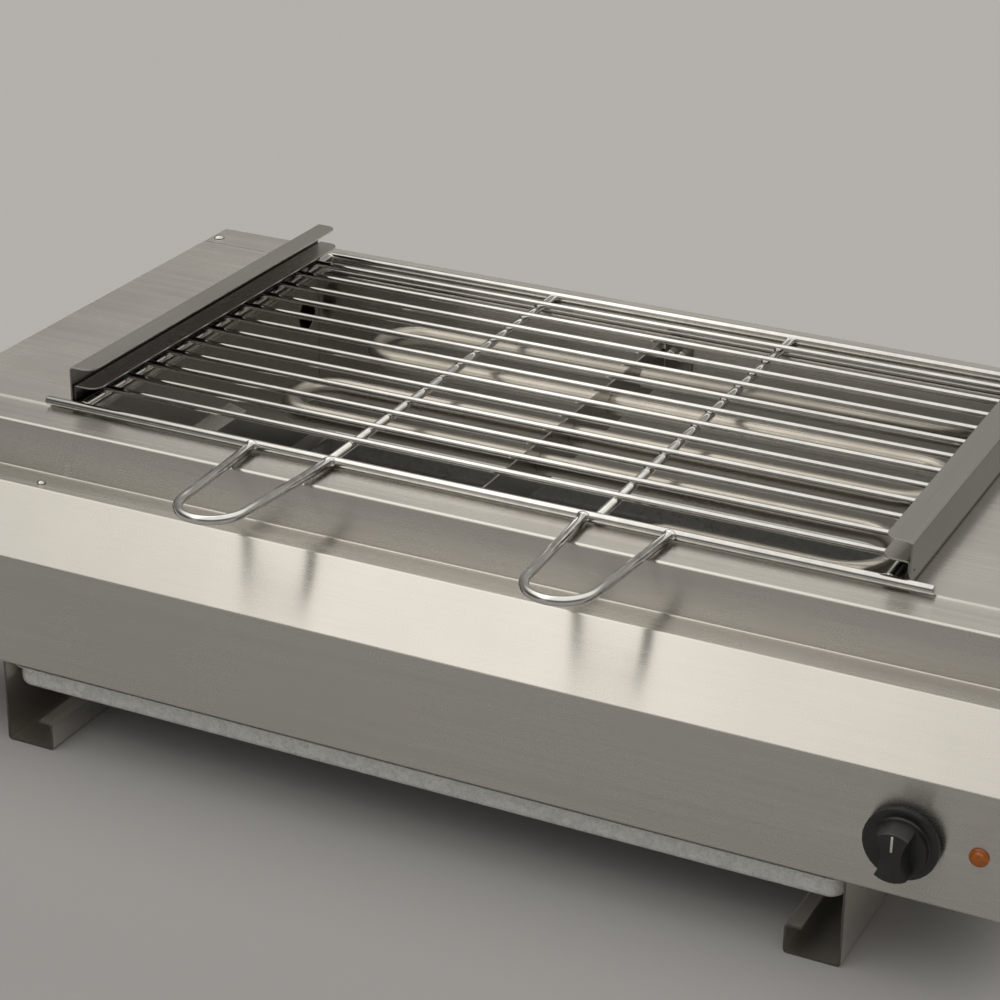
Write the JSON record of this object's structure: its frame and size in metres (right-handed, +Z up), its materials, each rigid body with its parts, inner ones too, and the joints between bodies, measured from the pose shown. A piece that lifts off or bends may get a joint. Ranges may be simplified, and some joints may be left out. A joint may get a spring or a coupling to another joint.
{
  "type": "electric barbecue grill",
  "caption": "Counter-top electric barbecue grill with a tubular element in an open well, a wire grid sliding in two-level rails and a drip tray that pulls out.",
  "frame": {"origin": "centre of the bounding box at the level of the foot soles", "axes": "+Z up, -Y towards the front with the slanted face and the handles, +X to the right seen from the front"},
  "size_m": [0.86, 0.5512, 0.262],
  "materials": {
    "brushed_sheet": "stainless sheet brushed along its length",
    "polished_sheet": "bright rolled stainless sheet, darkened by heat",
    "heated_tube": "smooth steel tube with a warm heat tint",
    "galvanised_sheet": "zinc-coated sheet with a grey-green spangle",
    "plated_steel": "bright plated wire and fasteners",
    "brass": "plain turned brass",
    "ceramic": "off-white steatite ceramic",
    "black_plastic": "black heat-proof moulding",
    "lamp_lens": "clear orange lens",
    "brown_wire": "silicone-covered wire",
    "red_wire": "silicone-covered wire",
    "blue_wire": "silicone-covered wire",
    "green_wire": "silicone-covered wire"
  },
  "bodies": {
    "body": {"cable_inlet": "black_plastic", "cable_inlet_cap": "black_plastic", "cable_inlet_lock_nut": "black_plastic", "earth_nut": "brass", "earth_stud": "brass", "element_rest_tab": "polished_sheet", "element_support_plate": "polished_sheet", "front_ceramic_bush": "ceramic", "front_fascia": "brushed_sheet", "front_gland_nut": "brass", "front_terminal_pin": "plated_steel", "heat_regulator": "black_plastic", "heating_element": "heated_tube", "left_base_sheet": "brushed_sheet", "left_end_panel": "brushed_sheet", "left_foot_channel": "brushed_sheet", "left_ledge_rivet": "plated_steel", "left_rail": "brushed_sheet", "left_rail_inner": "brushed_sheet", "left_rear_rivet": "plated_steel", "left_tray_runner": "galvanised_sheet", "pilot_lamp_body": "black_plastic", "pilot_lamp_clip": "plated_steel", "pilot_lamp_lens": "lamp_lens", "rear_ceramic_bush": "ceramic", "rear_gland_nut": "brass", "rear_panel": "brushed_sheet", "rear_terminal_pin": "plated_steel", "regulator_nut": "plated_steel", "right_base_sheet": "brushed_sheet", "right_end_panel": "brushed_sheet", "right_foot_channel": "brushed_sheet", "right_ledge_rivet": "plated_steel", "right_rail": "brushed_sheet", "right_rail_inner": "brushed_sheet", "right_rear_rivet": "plated_steel", "right_tray_runner": "galvanised_sheet", "support_bolt_left": "plated_steel", "support_bolt_right": "plated_steel", "support_cap_nut_left": "plated_steel", "support_cap_nut_right": "plated_steel", "tab_rivet": "plated_steel", "terminal_block": "ceramic", "top_plate": "brushed_sheet", "well_front_wall": "polished_sheet", "well_left_wall": "polished_sheet", "well_rear_wall": "polished_sheet", "well_right_wall": "polished_sheet", "wire_earth": "green_wire", "wire_neutral": "blue_wire", "wire_regulator_to_element": "red_wire", "wire_supply_live": "brown_wire"},
    "grid": {"wire_grid": "plated_steel", "grid_front_rod": "plated_steel", "grid_back_rod": "plated_steel", "grid_left_handle": "plated_steel", "grid_right_handle": "plated_steel"},
    "tray": {"drip_tray": "galvanised_sheet"},
    "knob": {"control_knob": "black_plastic", "knob_spindle": "plated_steel"}
  },
  "joints": [
    {"name": "grid_slide", "type": "slide", "parent": "body", "child": "grid", "axis": [0, -1, 0], "range_m": [0, 0.36]},
    {"name": "tray_slide", "type": "slide", "parent": "body", "child": "tray", "axis": [0, -1, 0], "range_m": [0, 0.44]},
    {"name": "knob_turn", "type": "hinge", "parent": "body", "child": "knob", "pos_m": [0.36, -0.24165, 0.1095], "axis": [0, 1, 0], "range_deg": [0, 270]}
  ]
}
